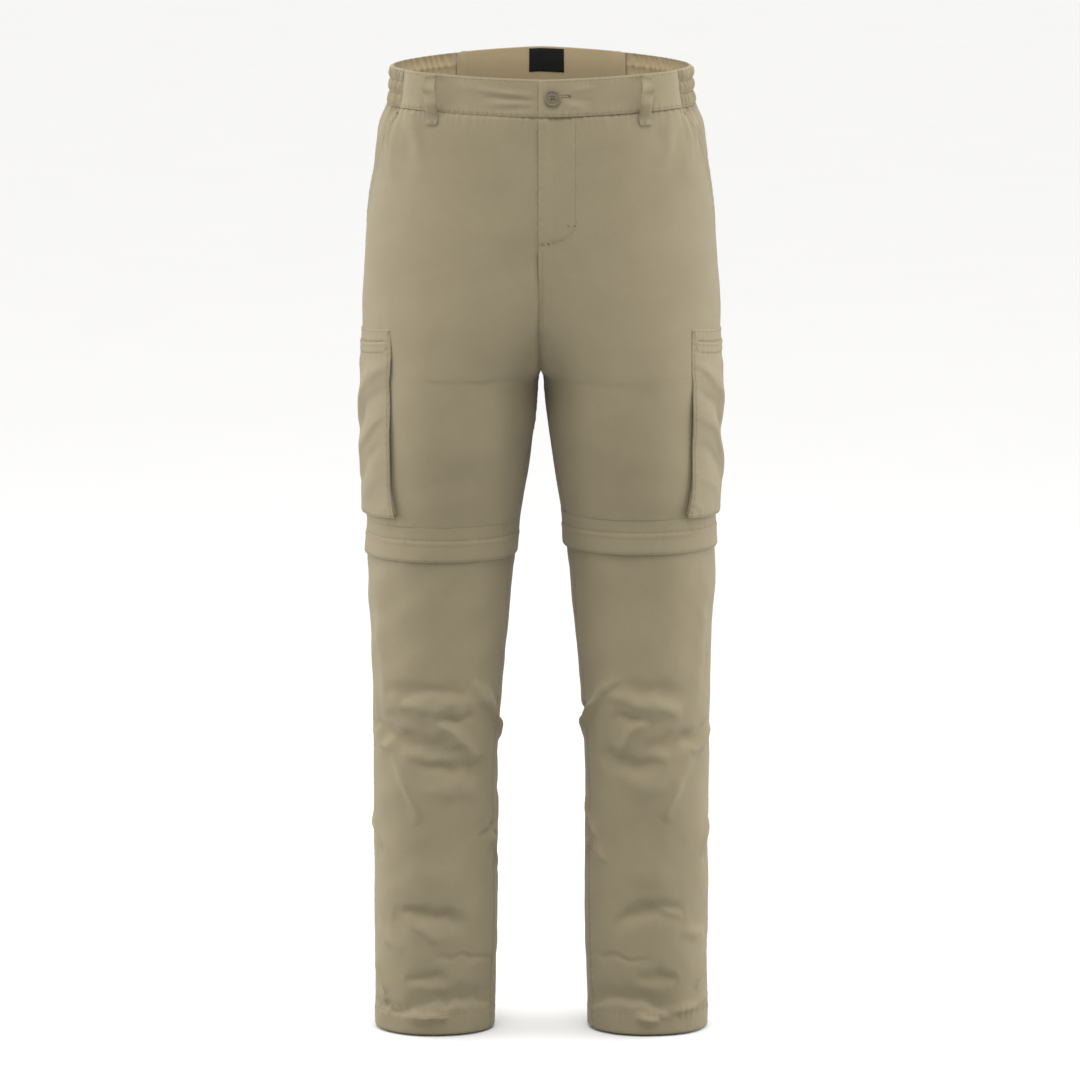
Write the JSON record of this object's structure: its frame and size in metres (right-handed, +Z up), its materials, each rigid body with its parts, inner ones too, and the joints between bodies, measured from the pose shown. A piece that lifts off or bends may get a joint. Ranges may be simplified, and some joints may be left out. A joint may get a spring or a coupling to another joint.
{
  "type": "convertible zip-off trousers",
  "caption": "Full-length trousers, filled out as worn, with elastic side waist, belt loops, slanted and cargo pockets, and lower legs held by a hidden zip above each knee.",
  "frame": {"origin": "middle of the waist, half way up the waistband, on the garment's plane of symmetry, where the wearer holds it up", "axes": "+Z up, -Y the way the wearer faces, +X towards the wearer's left, which is the picture's right"},
  "size_m": [0.404, 0.2683, 1.094],
  "materials": {
    "shell_cloth": "plain woven, matt khaki",
    "waistband_cloth": "plain woven, matt khaki",
    "pocket_cloth": "plain woven, matt khaki",
    "zip_tape": "woven tape",
    "button": "satin khaki",
    "label": "bare black woven tape"
  },
  "bodies": {
    "root": {"back_left": "shell_cloth", "back_right": "shell_cloth", "belt_loop_back_left": "waistband_cloth", "belt_loop_back_middle": "waistband_cloth", "belt_loop_back_right": "waistband_cloth", "belt_loop_front_left": "waistband_cloth", "belt_loop_front_right": "waistband_cloth", "button": "button", "cargo_gusset_left": "pocket_cloth", "cargo_gusset_right": "pocket_cloth", "cargo_pocket_left": "pocket_cloth", "cargo_pocket_right": "pocket_cloth", "front_left": "shell_cloth", "front_right": "shell_cloth", "knee_flap_left": "shell_cloth", "knee_flap_right": "shell_cloth", "knee_zip_left": "zip_tape", "knee_zip_right": "zip_tape", "label": "label", "lower_back_left": "shell_cloth", "lower_back_right": "shell_cloth", "lower_front_left": "shell_cloth", "lower_front_right": "shell_cloth", "pocket_facing_left": "shell_cloth", "pocket_facing_right": "shell_cloth", "side_elastic_left": "waistband_cloth", "side_elastic_right": "waistband_cloth", "waistband_back": "waistband_cloth", "waistband_front_left": "waistband_cloth", "waistband_front_right": "waistband_cloth"}
  },
  "joints": []
}
